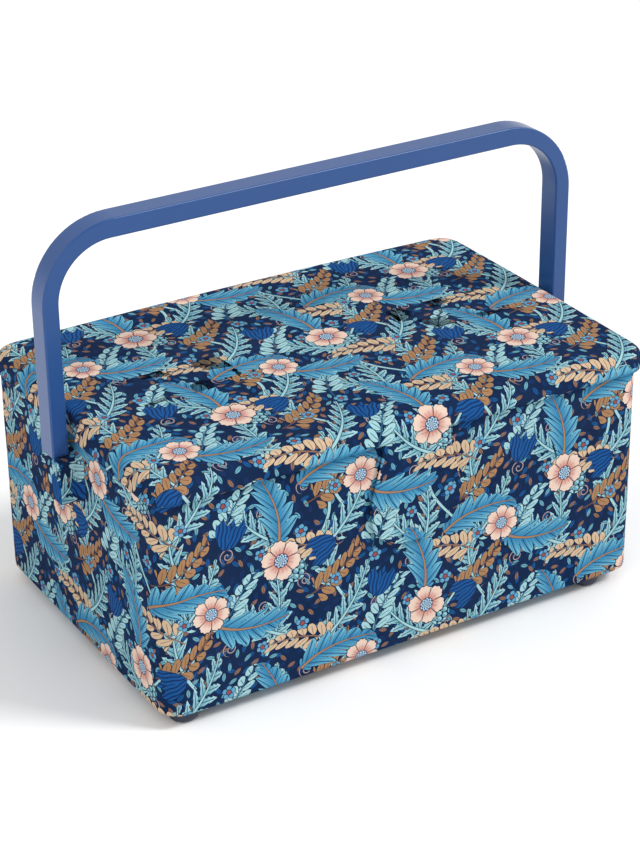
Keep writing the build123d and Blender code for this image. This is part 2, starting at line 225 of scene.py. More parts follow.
# The printed cloth: a generic trailing garden of lobed leaves, fronds, sprigs and blooms
REPEAT_X = 104.0
REPEAT_Y = 128.0
PRINT_FINENESS = 1.16

NAVY = srgb(2, 42, 84)
NAVY_DEEP = srgb(2, 26, 56)
TONAL = srgb(12, 80, 138)
TEAL = srgb(106, 178, 204)
TEAL_DEEP = srgb(56, 136, 178)
TEAL_LINE = srgb(16, 72, 116)
AQUA = srgb(158, 202, 208)
AQUA_DEEP = srgb(104, 164, 180)
AQUA_LINE = srgb(38, 90, 120)
TAN = srgb(164, 124, 88)
TAN_DEEP = srgb(112, 76, 52)
CREAM = srgb(206, 180, 150)
CREAM_DEEP = srgb(140, 104, 82)
PINK = srgb(228, 202, 186)
PINK_DEEP = srgb(204, 144, 132)
PINK_LINE = srgb(88, 56, 66)
CURL = srgb(166, 146, 150)
COBALT = srgb(16, 82, 146)
COBALT_DEEP = srgb(6, 44, 92)
SMALL_BLUE = srgb(96, 158, 192)
RUST = srgb(150, 78, 68)
DISC = srgb(110, 150, 180)
DISC_DOT = srgb(200, 214, 220)


def repeat_frame(u, v, centre_x, centre_y, width=REPEAT_X, height=REPEAT_Y):
    """Coordinates about the nearest centre of a half-drop repeat."""
    across = u - centre_x
    column = (across / width).round()
    x = column.times_plus(-width, across)
    along = column.times_plus(-height / 2, v - centre_y)
    return x, along.wrap(height / 2, -height / 2)


def blade(t):
    """A smooth rise and fall from 0 at a leaf's foot to 1 and back at its tip."""
    return (t - t * t) * 4.0


def stamp(ground, inside, colour, outline=0.5):
    """Lay a motif on the ground with a dark line round it. Inside is the depth within its edge."""
    drawn = mix(inside.above(0.0), NAVY_DEEP, colour)
    return mix(inside.above(-outline), ground, drawn)


def polar(x, y):
    """The distance from a motif's middle, and the angle round it."""
    out = (x * x + y * y).root()
    return out, y.angle(x)


def lobed_leaf(ground, x, y, length, width, lobe, bend):
    """A broad leaf with deep pointed lobes, a pale rib and engraved veins."""
    y = y - x * x * bend
    t = x / length
    away = y.abs()
    phase = (x - away * 1.05) / lobe
    place = phase.fraction()
    point = (1.0 - (place - 0.42).abs() * 1.9).most(0.0).root()
    wave = (x * 0.42).sin() * 0.07 + 0.38
    reach = blade(t).power(0.5) * (point * (1.0 - wave) + wave) * width
    inside = (reach - away).least(x).least(length - x)
    engraved = (place * 25.0 + away * 0.16).sin()
    shade = ramp(away / (width * 0.8), 0.05, 1.0)
    colour = mix(shade, TEAL_DEEP, TEAL)
    colour = mix(engraved.above(0.72) * inside.above(1.0) * 0.55, colour, TEAL_LINE)
    colour = mix((place - 0.42).abs().below(0.05) * inside.above(0.8), colour, TEAL_LINE)
    rib = (1.0 - t).times_plus(0.6, 0.3) - away
    colour = mix(rib.above(-0.35), colour, TEAL_LINE)
    colour = mix(rib.above(0.0), colour, TAN)
    return stamp(ground, inside, colour)


def fern(ground, x, y, length, width, step, bend):
    """A frond of slanted, toothed leaflets on a pale stalk."""
    y = y - x * x * bend
    t = x / length
    away = y.abs()
    side = y.above(0.0) * 0.5
    phase = ((x - away * 0.95) / step + side).fraction() - 0.5
    reach = t.most(0.0).power(0.3) * (1.0 - t).most(0.0).power(0.6) * width
    share = away / reach.most(0.01)
    tooth = (share * 3.0 + 0.1).fraction()
    leaflet = (1.0 - share).most(0.0).root() * (1.0 - tooth * 0.4) * (0.52 * step)
    inside = leaflet - phase.abs() * step
    inside = inside.least((1.0 - share) * 6.0).least(x).least(length - x)
    stalk = (1.0 - t).times_plus(0.55, 0.35) - away
    stalk = stalk.least(x + 9.0).least(length - x)
    deep = ramp(share, 0.0, 0.75)
    colour = mix(deep, AQUA_DEEP, AQUA)
    colour = mix(phase.abs().below(0.05) * share.below(0.8), colour, AQUA_LINE)
    ground = stamp(ground, inside, colour, 0.45)
    return stamp(ground, stalk, AQUA, 0.4)


def sprig(ground, x, y, length, leaf, half, step, bend, colours):
    """Pointed leaves, set alternately along a thin stalk, each with a dark rib."""
    y = y - x * x * bend
    away = y.abs()
    side = y.above(0.0) * 0.5
    phase = ((x - away * 0.7) / step + side).fraction() - 0.5
    taper = ramp(x, length, 0.0, 0.5, 1.0)
    t = away / (taper * leaf)
    inside = blade(t - 0.06).power(0.8) * half - phase.abs() * (0.85 * step)
    inside = inside.least((1.0 - t) * leaf).least(x).least(length - x)
    stalk = (0.42 - away).least(x + 8.0).least(length - x)
    rib = phase.abs().below(0.035) * t.below(0.75)
    colour = mix(rib, colours[0], colours[1])
    ground = stamp(ground, inside, colour, 0.4)
    return stamp(ground, stalk, colours[1], 0.0)


def bloom(ground, x, y, radius, petals):
    """An open flower: fringed petals, a warm heart and a dotted blue disc."""
    out, turn = polar(x, y)
    wave = (turn * (petals / 2.0)).sin().abs()
    fringe = (turn * (petals * 4.0)).sin() * 0.025 * radius
    reach = wave.power(0.4) * (0.32 * radius) + fringe + 0.66 * radius
    inside = reach - out
    colour = mix(ramp(out, 0.32 * radius, 0.8 * radius), PINK_DEEP, PINK)
    seam = wave.below(0.12) * out.above(0.3 * radius)
    streak = (turn * (petals * 3.0)).sin().above(0.8) * out.below(0.62 * radius)
    colour = mix(streak * 0.45, colour, RUST)
    colour = mix(seam, colour, PINK_LINE)
    dots = (turn * 9.0).sin() * (out * 2.6).sin()
    disc = mix(dots.above(0.25), DISC, DISC_DOT)
    disc = mix(dots.below(-0.55), disc, COBALT_DEEP)
    colour = mix(out.below(0.36 * radius), colour, PINK_LINE)
    colour = mix(out.below(0.32 * radius), colour, disc)
    return stamp(ground, inside, colour, 0.6)


def bell(ground, x, y, length, half):
    """A cobalt bell flower: a round foot, a pointed mouth and engraved lines."""
    away = y.abs()
    side = blade(x * (0.62 / length)).power(0.6) * half - away
    points = (y * (4.7 / half)).sin().abs() * (0.26 * length)
    inside = side.least(length - x - points).least(x)
    lines = (away * 2.3 - x * 0.4 + (x * 0.6).sin() * 0.8).sin()
    colour = mix(lines.above(0.4), COBALT, COBALT_DEEP)
    return stamp(ground, inside, colour, 0.4)


def small_flower(ground, x, y, radius):
    """A five-petalled flower with a warm heart."""
    out, turn = polar(x, y)
    wave = (turn * 2.5).sin().abs()
    inside = wave.root() * (0.45 * radius) + 0.5 * radius - out
    colour = mix(wave.below(0.25), SMALL_BLUE, COBALT_DEEP)
    colour = mix(out.below(0.42 * radius), colour, COBALT_DEEP)
    colour = mix(out.below(0.3 * radius), colour, RUST)
    return stamp(ground, inside, colour, 0.4)


def berries(ground, x, y, step, reach):
    """A cluster of pale round berries."""
    out, _ = polar(x, y)
    column = (x / step).round()
    row_y = column.times_plus(-0.5 * step, y)
    near_x = column.times_plus(-step, x)
    near_y = (row_y / step).round().times_plus(-step, row_y)
    spot, _ = polar(near_x, near_y)
    inside = (0.44 * step - spot).least(reach - out)
    shine = (near_x + near_y).above(0.25)
    colour = mix(shine, AQUA_DEEP, AQUA)
    return stamp(ground, inside, colour, 0.4)


def tendril(ground, x, y, radius):
    """A thin curl that winds inwards."""
    out, turn = polar(x, y)
    pitch = radius / 1.7
    coil = (out / pitch - turn / (2 * math.pi)).fraction()
    inside = (0.12 - (coil - 0.5).abs()) * pitch
    inside = inside.least(radius - out)
    return stamp(ground, inside, CURL, 0.3)


def scattered_leaves(ground, x, y, spacing, half_length, half_width, colours):
    """Small leaves of two colours, strewn at random angles, one to a square."""
    column = (x / spacing).round()
    row = (y / spacing).round()
    turn, share, shift = x.net.chance(column.times_plus(7.31, row * 19.17))
    near_x = column.times_plus(-spacing, x) + (share - 0.5) * (0.3 * spacing)
    near_y = row.times_plus(-spacing, y) + (shift - 0.5) * (0.3 * spacing)
    cosine = (turn * 6.28).sin()
    sine = (turn * 6.28 + 1.571).sin()
    along = near_x * cosine + near_y * sine
    across = (near_y * cosine - near_x * sine).abs()
    inside = blade(along / (2 * half_length) + 0.5) * half_width - across
    colour = mix(shift.above(0.5), *colours)
    colour = mix(across.below(0.12), colour, NAVY_DEEP)
    return mix(inside.above(0.0) * share.above(0.15), ground, colour)


def winding_stem(ground, x, y, sway, width, colour):
    """A main stem that winds up the whole repeat."""
    centre = (y * (2 * math.pi / REPEAT_Y)).sin() * sway
    return stamp(ground, width - (x - centre).abs(), colour, 0.4)


# Each motif's middle, in millimetres before the print is made finer. Then follow its turn in degrees,
# its flip and its length for fronds, sprigs and leaves, the turn for bells, the radius and the number
# of petals for blooms, and the radius for small flowers and curls.
# The fronds, sprigs, small flowers and curls have a smaller repeat than the rest.
FRONDS = (
    (12.0, 2.0, 66.0, 1.0, 46.0),
    (38.0, 26.0, 118.0, -1.0, 46.0),
    (64.0, 56.0, 40.0, 1.0, 44.0),
    (90.0, 30.0, 150.0, -1.0, 44.0),
)
SPRIGS = (
    (24.0, 46.0, 150.0, 1.0, 40.0, (CREAM, CREAM_DEEP)),
    (52.0, 14.0, 20.0, 1.0, 38.0, (TAN, TAN_DEEP)),
    (80.0, 50.0, 76.0, -1.0, 38.0, (AQUA, AQUA_LINE)),
)
BELLS = (
    (38.0, 4.0, 200.0),
    (80.0, 96.0, 72.0),
)
LEAVES = (
    (13.0, 38.0, 78.0, 1.0, 46.0),
    (42.0, 66.0, 36.0, -1.0, 48.0),
    (88.0, 24.0, -34.0, 1.0, 44.0),
)
BLOOMS = (
    (10.0, 4.0, 14.0, 6.0),
    (66.0, 46.0, 12.5, 7.0),
)
SMALL_FLOWERS = (
    (24.0, 20.0, 4.8),
    (48.0, 44.0, 4.2),
)
CURLS = (
    (26.0, 50.0, 5.2),
    (50.0, 8.0, 4.6),
)


def printed_colour(net, place):
    """The whole print, from the ground up."""
    u, v, _ = net.split(place)
    u = u * PRINT_FINENESS
    v = v * PRINT_FINENESS

    def motif(x, y, degrees, flip=1.0, foot=0.0, width=REPEAT_X, height=REPEAT_Y):
        """Coordinates along and across the nearest copy of a motif, counted from its foot."""
        return net.turned(*repeat_frame(u, v, x, y, width, height), degrees, flip, foot)

    half_x = REPEAT_X / 2
    half_y = REPEAT_Y / 2
    ground = mix(net.noise(place, 0.05), NAVY_DEEP, NAVY)
    ground = scattered_leaves(ground, *net.turned(u, v, 25.0), 7.0, 3.4, 1.3, (TONAL, COBALT_DEEP))
    ground = scattered_leaves(ground, *net.turned(u, v, 52.0), 8.4, 3.2, 1.2, (CREAM_DEEP, AQUA_DEEP))
    for x, y, radius in CURLS:
        ground = tendril(ground, *motif(x, y, 70.0 + 3.0 * x, width=half_x, height=half_y), radius)
    ground = winding_stem(ground, *repeat_frame(u, v, 26.0, 0.0), 18.0, 1.0, AQUA)
    for x, y, degrees, flip, length in FRONDS:
        along, across = motif(x, y, degrees, flip, length / 2, height=half_y)
        ground = fern(ground, along, across, length, 18.0, 8.4, 0.008)
    for x, y, degrees, flip, length, colours in SPRIGS:
        along, across = motif(x, y, degrees, flip, length / 2, height=half_y)
        ground = sprig(ground, along, across, length, 10.5, 2.7, 7.0, 0.009, colours)
    for x, y, radius in SMALL_FLOWERS:
        ground = small_flower(ground, *motif(x, y, 5.0 * x, width=half_x, height=half_y), radius)
    for x, y, degrees in BELLS:
        ground = bell(ground, *motif(x, y, degrees, 1.0, 10.5), 21.0, 10.5)
    for x, y, degrees, flip, length in LEAVES:
        along, across = motif(x, y, degrees, flip, length / 2)
        ground = lobed_leaf(ground, along, across, length, 14.0, 9.6, 0.011)
    ground = berries(ground, *motif(20.0, 122.0, 0.0), 4.0, 7.5)
    for x, y, radius, petals in BLOOMS:
        ground = bloom(ground, *motif(x, y, 12.0), radius, petals)
    return ground


def weave_height(net, place, pitch):
    """A plain weave: threads that pass over and under each other."""
    u, v, _ = net.split(place)
    turn = math.pi / pitch
    over_warp = (u * turn).sin() * (v * turn).sin()
    warp = (u * (2 * turn)).sin().abs()
    weft = (v * (2 * turn)).sin().abs()
    return over_warp * 0.5 + (warp + weft) * 0.25


def printed_cloth():
    """The printed cotton: the print, its uneven threads with painted shade in the weave's hollows, and a
    faint wear.
    """
    net = Net("printed_cloth")
    place = net.cloth_place()
    slub = net.noise(net.scaled(place, (0.5, 4.0, 1.0)), 0.35, 3.0)
    worn = net.noise(place, 0.02, 3.0)
    weave = weave_height(net, place, 0.42)
    # Thread tone from the slubs plus painted shade: the print darkens towards the dark navy where the
    # weave lies low between threads.
    slub_and_weave_shade = slub.times_plus(0.22, weave * 0.10 + 0.80)
    colour = mix(slub_and_weave_shade.clamp(), NAVY_DEEP, printed_colour(net, place))
    return net.finished({
        "Base Color": mix(worn * 0.02, colour, CREAM),
        "Roughness": slub.times_plus(0.12, 0.78),
        "Specular IOR Level": 0.05,
    }, weave + slub * 0.6, 0.00009, 0.6)


def plain_cloth(name, colour, deep, pitch, sheen=0.15):
    """A one-colour woven cloth with slubs and faint shading."""
    net = Net(name)
    place = net.cloth_place()
    slub = net.noise(net.scaled(place, (0.6, 5.0, 1.0)), 0.3, 3.0)
    patch = net.noise(place, 0.03, 4.0)
    return net.finished({
        "Base Color": mix(slub.times_plus(0.55, patch * 0.45), deep, colour),
        "Roughness": slub.times_plus(0.12, 0.72),
        "Specular IOR Level": 0.3,
        "Sheen Weight": sheen,
        "Sheen Roughness": 0.45,
    }, weave_height(net, place, pitch) + slub * 0.8, 0.00012, 0.7)


def moulded(name, colour, deep, rough, sheen=0.0, metal=0.0):
    """A moulded or turned solid: faint mottling, fine grain and uneven gloss."""
    net = Net(name)
    place = net.solid_place()
    cloudy = net.noise(place, 0.035, 4.0)
    fine = net.noise(place, 0.9, 3.0, 0.6)
    return net.finished({
        "Base Color": mix(cloudy * 0.7 + fine * 0.3, deep, colour),
        "Roughness": fine.times_plus(0.12, cloudy * 0.08 + (rough - 0.1)),
        "Metallic": metal,
        "Sheen Weight": sheen,
        "Sheen Roughness": 0.3,
    }, fine, 0.00003, 0.5)


def tray_plastic():
    """Pale translucent tray plastic with soft flow marks."""
    net = Net("tray_plastic")
    place = net.solid_place()
    flow = net.noise(net.scaled(place, (1.0, 0.25, 1.0)), 0.03, 4.0)
    fine = net.noise(place, 1.1, 2.0)
    return net.finished({
        "Base Color": mix(flow, srgb(214, 222, 230), srgb(238, 242, 246)),
        "Roughness": fine.times_plus(0.1, flow * 0.12 + 0.22),
        "Subsurface Weight": 0.15,
        "Subsurface Radius": (0.002, 0.002, 0.002),
    }, flow * 0.6 + fine * 0.4, 0.00004, 0.4)


def fibre(name, colour, deep, scale, bump):
    """Pressed board or foam: specks and a rough face."""
    net = Net(name)
    place = net.solid_place()
    specks = net.noise(place, scale, 5.0, 0.7)
    cloudy = net.noise(place, 0.04, 3.0)
    return net.finished({
        "Base Color": mix(specks * 0.7 + cloudy * 0.3, deep, colour),
        "Roughness": specks.times_plus(0.1, 0.85),
    }, specks, bump, 0.6)


MATERIALS = {"printed_cloth": printed_cloth(), "tray_plastic": tray_plastic()}
for maker, finish, *values in (
    (plain_cloth, "lining_cloth", srgb(96, 128, 172), srgb(70, 100, 146), 0.5),
    (plain_cloth, "base_cloth", srgb(30, 42, 70), srgb(18, 26, 48), 0.6, 0.05),
    (plain_cloth, "cushion_cloth", srgb(214, 190, 160), srgb(186, 156, 126), 0.45, 0.3),
    (plain_cloth, "elastic", srgb(62, 88, 134), srgb(44, 66, 108), 0.8, 0.1),
    (moulded, "handle_plastic", srgb(26, 76, 138), srgb(20, 66, 126), 0.34, 0.45),
    (moulded, "bracket_plastic", srgb(52, 76, 118), srgb(40, 62, 102), 0.45),
    (moulded, "foot_plastic", srgb(38, 48, 70), srgb(26, 34, 52), 0.4),
    (moulded, "steel", srgb(190, 192, 196), srgb(150, 152, 158), 0.32, 0.0, 1.0),
    (moulded, "magnet", srgb(120, 122, 126), srgb(88, 90, 96), 0.35, 0.0, 1.0),
    (fibre, "stiffener", srgb(236, 234, 228), srgb(214, 210, 202), 0.8, 0.00005),
    (fibre, "board", srgb(168, 154, 134), srgb(128, 114, 96), 0.5, 0.00008),
    (fibre, "padding", srgb(246, 246, 244), srgb(226, 226, 222), 0.9, 0.0002),
):
    MATERIALS[finish] = maker(finish, *values)

CAD_FINISH = {
    "foot_plastic": ("foot_front_left", "foot_front_right", "foot_back_left", "foot_back_right"),
    "steel": (
        "foot_screws", "bracket_screws", "backing_plate_left", "backing_plate_right",
        "pivot_pin_left", "pivot_pin_right",
    ),
    "board": ("base_board", "wall_board", "lid_board"),
    "base_cloth": ("base_cover",),
    "lining_cloth": (
        "base_lining", "wall_lining", "lid_lining", "lid_pocket", "tray_ledge_left", "tray_ledge_right",
    ),
    "printed_cloth": (
        "wall_cover", "lid_cover", "tab_cover", "hinge_lower", "hinge_upper",
        "bracket_cover_left", "bracket_cover_right",
    ),
    "magnet": ("wall_magnet", "tab_magnet"),
    "bracket_plastic": ("bracket_left", "bracket_right"),
    "padding": ("lid_padding",),
    "cushion_cloth": ("pin_cushion",),
    "elastic": ("pocket_elastic",),
    "stiffener": ("tab_stiffener",),
    "handle_plastic": ("handle_bow",),
    "tray_plastic": ("tray_shell",),
}

for finish, node_names in CAD_FINISH.items():
    for node_name in node_names:
        node = cad[node_name]
        if not node.material_slots:
            node.data.materials.append(None)
        for material_slot in node.material_slots:
            material_slot.material = MATERIALS[finish]


# Mesh helpers
def in_frame(points):
    """Millimetres about the box's own middle, as metres in the shared frame."""
    return (np.asarray(points, float) + (0.0, CENTRING, 0.0)) * MM


def placed(name, data):
    """A new object in the scene."""
    made = bpy.data.objects.new(name, data)
    bpy.context.scene.collection.objects.link(made)
    return made


def add_piece(name, mesh, finish):
    """A soft piece in the scene, with its material."""
    piece = placed(name, mesh)
    mesh.materials.append(MATERIALS[finish])
    return piece


def set_cloth(mesh, corners):
    """Give each face corner its place on the flat cloth."""
    layer = mesh.uv_layers.new(name="cloth")
    layer.data.foreach_set("uv", np.asarray(corners, np.float32).ravel())


def skin_mesh(name, grid, cloth, closed=True):
    """A smooth surface through rows of points, with each corner's place on the flat cloth.
    The cloth has one more column than the grid where the surface closes on itself."""
    grid = np.array(grid)
    cloth = np.array(cloth)
    rows, columns, _ = grid.shape
    spans = columns if closed else columns - 1
    row, column = np.meshgrid(np.arange(rows - 1), np.arange(spans), indexing="ij")
    around = ((0, 0), (0, 1), (1, 1), (1, 0))
    faces = np.stack([(row + r) * columns + (column + c) % columns for r, c in around], -1)
    corners = np.stack([cloth[row + r, column + c] for r, c in around], -2)
    mesh = bpy.data.meshes.new(name)
    mesh.from_pydata(in_frame(grid.reshape(-1, 3)).tolist(), [], faces.reshape(-1, 4).tolist())
    set_cloth(mesh, corners.reshape(-1, 2))
    mesh.shade_smooth()
    mesh.update()
    return mesh


def with_last(points, value):
    """The points with one more coordinate: one value for all, or one for each."""
    return np.column_stack([points, np.broadcast_to(value, len(points))])


def arc(centre, radius, start, end, steps):
    """Points along a circle's arc between two angles, in degrees."""
    turns = [math.radians(start + (end - start) * k / steps) for k in range(steps + 1)]
    return [(centre[0] + radius * math.cos(turn), centre[1] + radius * math.sin(turn)) for turn in turns]


def run_lengths(profile):
    """The distance along a profile from its first point to each of its points."""
    lengths = [0.0]
    for before, after in zip(profile, profile[1:]):
        lengths.append(lengths[-1] + math.hypot(after[0] - before[0], after[1] - before[1]))
    return lengths


def welded(*meshes):
    """One mesh made of several, with the points that lie together joined."""
    joined = bmesh.new()
    for mesh in meshes:
        joined.from_mesh(mesh)
    bmesh.ops.remove_doubles(joined, verts=joined.verts, dist=0.00005)
    whole = bpy.data.meshes.new(meshes[0].name)
    joined.to_mesh(whole)
    joined.free()
    whole.shade_smooth()
    return whole


def spaced(start, end, step):
    """Evenly spaced places from start up to, but not including, end."""
    count = max(1, round(abs(end - start) / step))
    return list(np.linspace(start, end, count, endpoint=False))


def side_places(step, marks=()):
    """Places along a side, from -1 to 1, with rows on both sides of each mark."""
    stops = sorted({-1.0, 1.0, *marks})
    places = []
    for low, high in zip(stops, stops[1:]):
        places += spaced(low, high, step)
    return places


def plan_ring(half_x, half_y, radius, marks=()):
    """Points round a rounded rectangle, anticlockwise from the middle of the back, and the outward
    direction at each. Rings with the same marks have the same number of points."""
    step = 4.0
    corner_steps = 8
    kept = 20.0
    flat_x = HALF_LENGTH - CORNER
    flat_y = HALF_DEPTH - CORNER
    side = np.array(side_places(step / flat_x))
    end = np.array(side_places(step / flat_y, [m / flat_y for m in marks]))
    straight_x = half_x - radius
    straight_y = half_y - radius
    end_y = np.where(np.abs(end * flat_y) <= kept, end * flat_y, end * straight_y)
    points = []
    outward = []
    for forth_x, forth_y in ((-1, 0), (0, -1), (1, 0), (0, 1)):
        out_x, out_y = forth_y, -forth_x
        middle = (out_x * half_x, out_y * half_y)
        places = side * straight_x if forth_x else end_y
        points += [(middle[0] + forth_x * place, middle[1] + forth_y * place) for place in places]
        outward += [(out_x, out_y)] * len(places)
        centre_x = (out_x + forth_x) * straight_x
        centre_y = (out_y + forth_y) * straight_y
        start = math.degrees(math.atan2(out_y, out_x))
        for x, y in arc((0.0, 0.0), 1.0, start, start + 90.0, corner_steps)[:-1]:
            points.append((centre_x + radius * x, centre_y + radius * y))
            outward.append((x, y))
    first = -(len(side) // 2)
    return np.roll(points, first, axis=0), np.roll(outward, first, axis=0).astype(float)


def along_ring(points):
    """Distance round a ring from its first point, with the closing point added."""
    return np.array(run_lengths(np.vstack([points, points[:1]])))


def ripple(a, b, size, seed):
    """A slow, uneven wave over a surface."""
    phase = seed * 1.9
    wave = np.sin(a * 0.043 + b * 0.031 + phase) + 0.7 * np.sin(a * 0.097 - b * 0.071 + 2.1 * phase)
    wave = wave + 0.5 * np.sin(a * 0.21 + b * 0.13 + 0.7 * phase)
    return size * wave / 2.2


# The print runs on from the lid's top, over its front edge, and down the tab and the wall
LID_FRONT_DROP = 17.7
WALL_TOP_V = -(HALF_DEPTH + LID_OVERHANG - LID_EDGE) - LID_FRONT_DROP


def wall_skin(name, profile, around, start, swell, finish):
    """Cloth round the wall. The profile has the inset and height of each row of points, and the
    swell is a function of both."""
    _, outward = plan_ring(HALF_LENGTH, HALF_DEPTH, CORNER)
    grid = []
    cloth = []
    for (inset, z), run in zip(profile, run_lengths(profile)):
        ring, _ = plan_ring(HALF_LENGTH - inset, HALF_DEPTH - inset, max(CORNER - inset, 0.4))
        grid.append(with_last(ring + outward * np.reshape(swell(inset, z), (-1, 1)), z))
        cloth.append(with_last(around, start + run))
    return add_piece(name, skin_mesh(name, grid, cloth), finish)


def wall_cloth():
    """The wall's printed cloth: turned under the base, up the outside and over the rim."""
    hem = 15.0
    foot = 2.2
    brim = 1.6
    profile = [(hem, BASE), (9.0, BASE), (foot, BASE)]
    profile += arc((foot, BASE + foot), foot, 270.0, 180.0, 5)[1:]
    profile += [(0.0, z) for z in spaced(BASE + foot, RIM - brim, 5.0)[1:]]
    profile += arc((brim, RIM - brim), brim, 180.0, 90.0, 5)
    profile += [(4.2, RIM), (4.95, RIM - 0.5), (4.99, RIM - 2.0)]
    around = along_ring(plan_ring(HALF_LENGTH, HALF_DEPTH, CORNER)[0])
    around -= around[-1] / 2

    def swell(inset, z):
        if inset >= 0.5:
            return 0.0
        edge = min(1.0, (z - BASE) / 20.0, (RIM - z) / 12.0)
        return ripple(around[:-1], z, 0.22, 1.0) * max(edge, 0.0)

    start = WALL_TOP_V - (RIM - BASE - foot) - (hem - foot + foot * math.pi / 2)
    piece = wall_skin("wall_cloth", profile, around, start, swell, "printed_cloth")
    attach(piece, "box")
    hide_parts("wall_cover")


def crown(x, y):
    """The height of the lid's padded top."""
    return LID_TOP - LID_CROWN * (x * x + y * y) / LID_CROWN_REACH ** 2


# Extra rows beside the lid's notches, along its ends
LID_MARKS = (-17.0, -15.6, -14.8, -14.2, -13.6, -12.6, 12.6, 13.6, 14.2, 14.8, 15.6, 17.0)


def lid_ring(inset):
    """The lid's plan drawn in by an inset, with the notches beside the handle."""
    half_x = HALF_LENGTH + LID_OVERHANG - inset
    half_y = HALF_DEPTH + LID_OVERHANG / 2 - inset
    ring, outward = plan_ring(half_x, half_y, max(LID_CORNER - inset, 0.0), marks=LID_MARKS)
    ring = ring + (0.0, -LID_OVERHANG / 2)
    return ring, outward


def notched(ring):
    """Ring points beside the handle's legs, held back to the notch's face."""
    deep = np.clip(NOTCH_HALF + 1.1 - np.abs(ring[:, 1]), 0.0, 1.0)
    deep = deep * deep * (3 - 2 * deep)
    beyond = np.maximum(np.abs(ring[:, 0]) - HALF_LENGTH, 0.0)
    moved = ring.copy()
    moved[:, 0] -= np.sign(ring[:, 0]) * beyond * deep
    return moved


def lid_cloth():
    """The lid's printed cloth: crowned top, soft edge, skirt and the hem under it."""
    edge_ring, outward = lid_ring(LID_EDGE)
    full_ring, _ = lid_ring(0.0)
    bottom = LID_BOTTOM + LID_HEM
    skirt = crown(*full_ring.T) - LID_EDGE - bottom
    quarter = LID_EDGE * math.pi / 2
    hem_run = 2.0
    grid = []
    cloth = []

    def add(ring, z, run, swell=0.0):
        """One row of points, and how far it lies along the cloth from the lid's edge."""
        grid.append(with_last(notched(ring + outward * np.reshape(swell, (-1, 1))), z))
        flat = edge_ring + outward * np.reshape(np.broadcast_to(run, len(ring)), (-1, 1))
        cloth.append(np.vstack([flat, flat[:1]]))

    for inset in (19.0, 10.0, LID_HEM):
        add(lid_ring(inset)[0], LID_BOTTOM, quarter + skirt + hem_run + inset)
    for k, (inset, z) in enumerate(arc((LID_HEM, bottom), LID_HEM, 270.0, 180.0, 4)[1:], 1):
        add(lid_ring(inset)[0], z, quarter + skirt + hem_run * (1 - k / 4))
    for k in range(1, 6):
        share = k / 6
        z = bottom + skirt * share
        wave = ripple(full_ring[:, 0] + full_ring[:, 1], z, 0.18, 2.0)
        swell = 0.9 * math.sin(math.pi * share ** 0.6)
        add(full_ring, z, quarter + skirt * (1 - share), wave + swell)
    for k in range(9):
        turn = math.radians(10 * k)
        ring = lid_ring(LID_EDGE - LID_EDGE * math.cos(turn))[0]
        add(ring, crown(*ring.T) - LID_EDGE * (1 - math.sin(turn)), quarter * (1 - k / 9))
    deepest = HALF_DEPTH + LID_OVERHANG / 2
    for inset in np.concatenate([np.linspace(LID_EDGE, 30.0, 8), np.linspace(34.0, deepest, 16)]):
        ring = lid_ring(inset)[0]
        softness = min(1.0, (inset - LID_EDGE) / 15.0)
        soft = ripple(*ring.T, 0.3, 3.0) * softness
        grid.append(with_last(ring, crown(*ring.T) + soft - 0.3 * softness))
        cloth.append(np.vstack([ring, ring[:1]]))
    piece = add_piece("lid_cloth", welded(skin_mesh("lid_cloth", grid, cloth)), "printed_cloth")
    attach(piece, "lid")
    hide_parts("lid_cover", "lid_padding")


# The closure tab
TAB_LENGTH = 61.0
TAB_TOP_HALF = 21.0
TAB_WIDE_HALF = 28.0
TAB_WIDE_AT = 38.0
TAB_FRONT = -(HALF_DEPTH + LID_OVERHANG)
TAB_BACK = -(HALF_DEPTH + 0.4)


def bezier(a, b, c, d, count):
    """Points along a cubic curve from a to d."""
    t = np.linspace(0.0, 1.0, count)[:, None]
    a, b, c, d = (np.array(p, float) for p in (a, b, c, d))
    return a * (1 - t) ** 3 + 3 * b * t * (1 - t) ** 2 + 3 * c * t * t * (1 - t) + d * t ** 3


def tab_half(drop):
    """Half the tab's width at a distance below its top, on the CAD outline's two curves."""
    flare = 14.75
    turn_in = 17.0
    narrow = (TAB_TOP_HALF, 0.4)
    wide = (TAB_WIDE_HALF, TAB_WIDE_AT)
    tip = (0.0, TAB_LENGTH)
    side = bezier(narrow, (TAB_TOP_HALF, 0.4 + flare), (TAB_WIDE_HALF, TAB_WIDE_AT - flare), wide, 60)
    foot = bezier(wide, (TAB_WIDE_HALF, TAB_WIDE_AT + turn_in), (turn_in, TAB_LENGTH), tip, 120)
    whole = np.vstack([side, foot[1:]])
    return np.interp(drop, whole[:, 1], whole[:, 0])


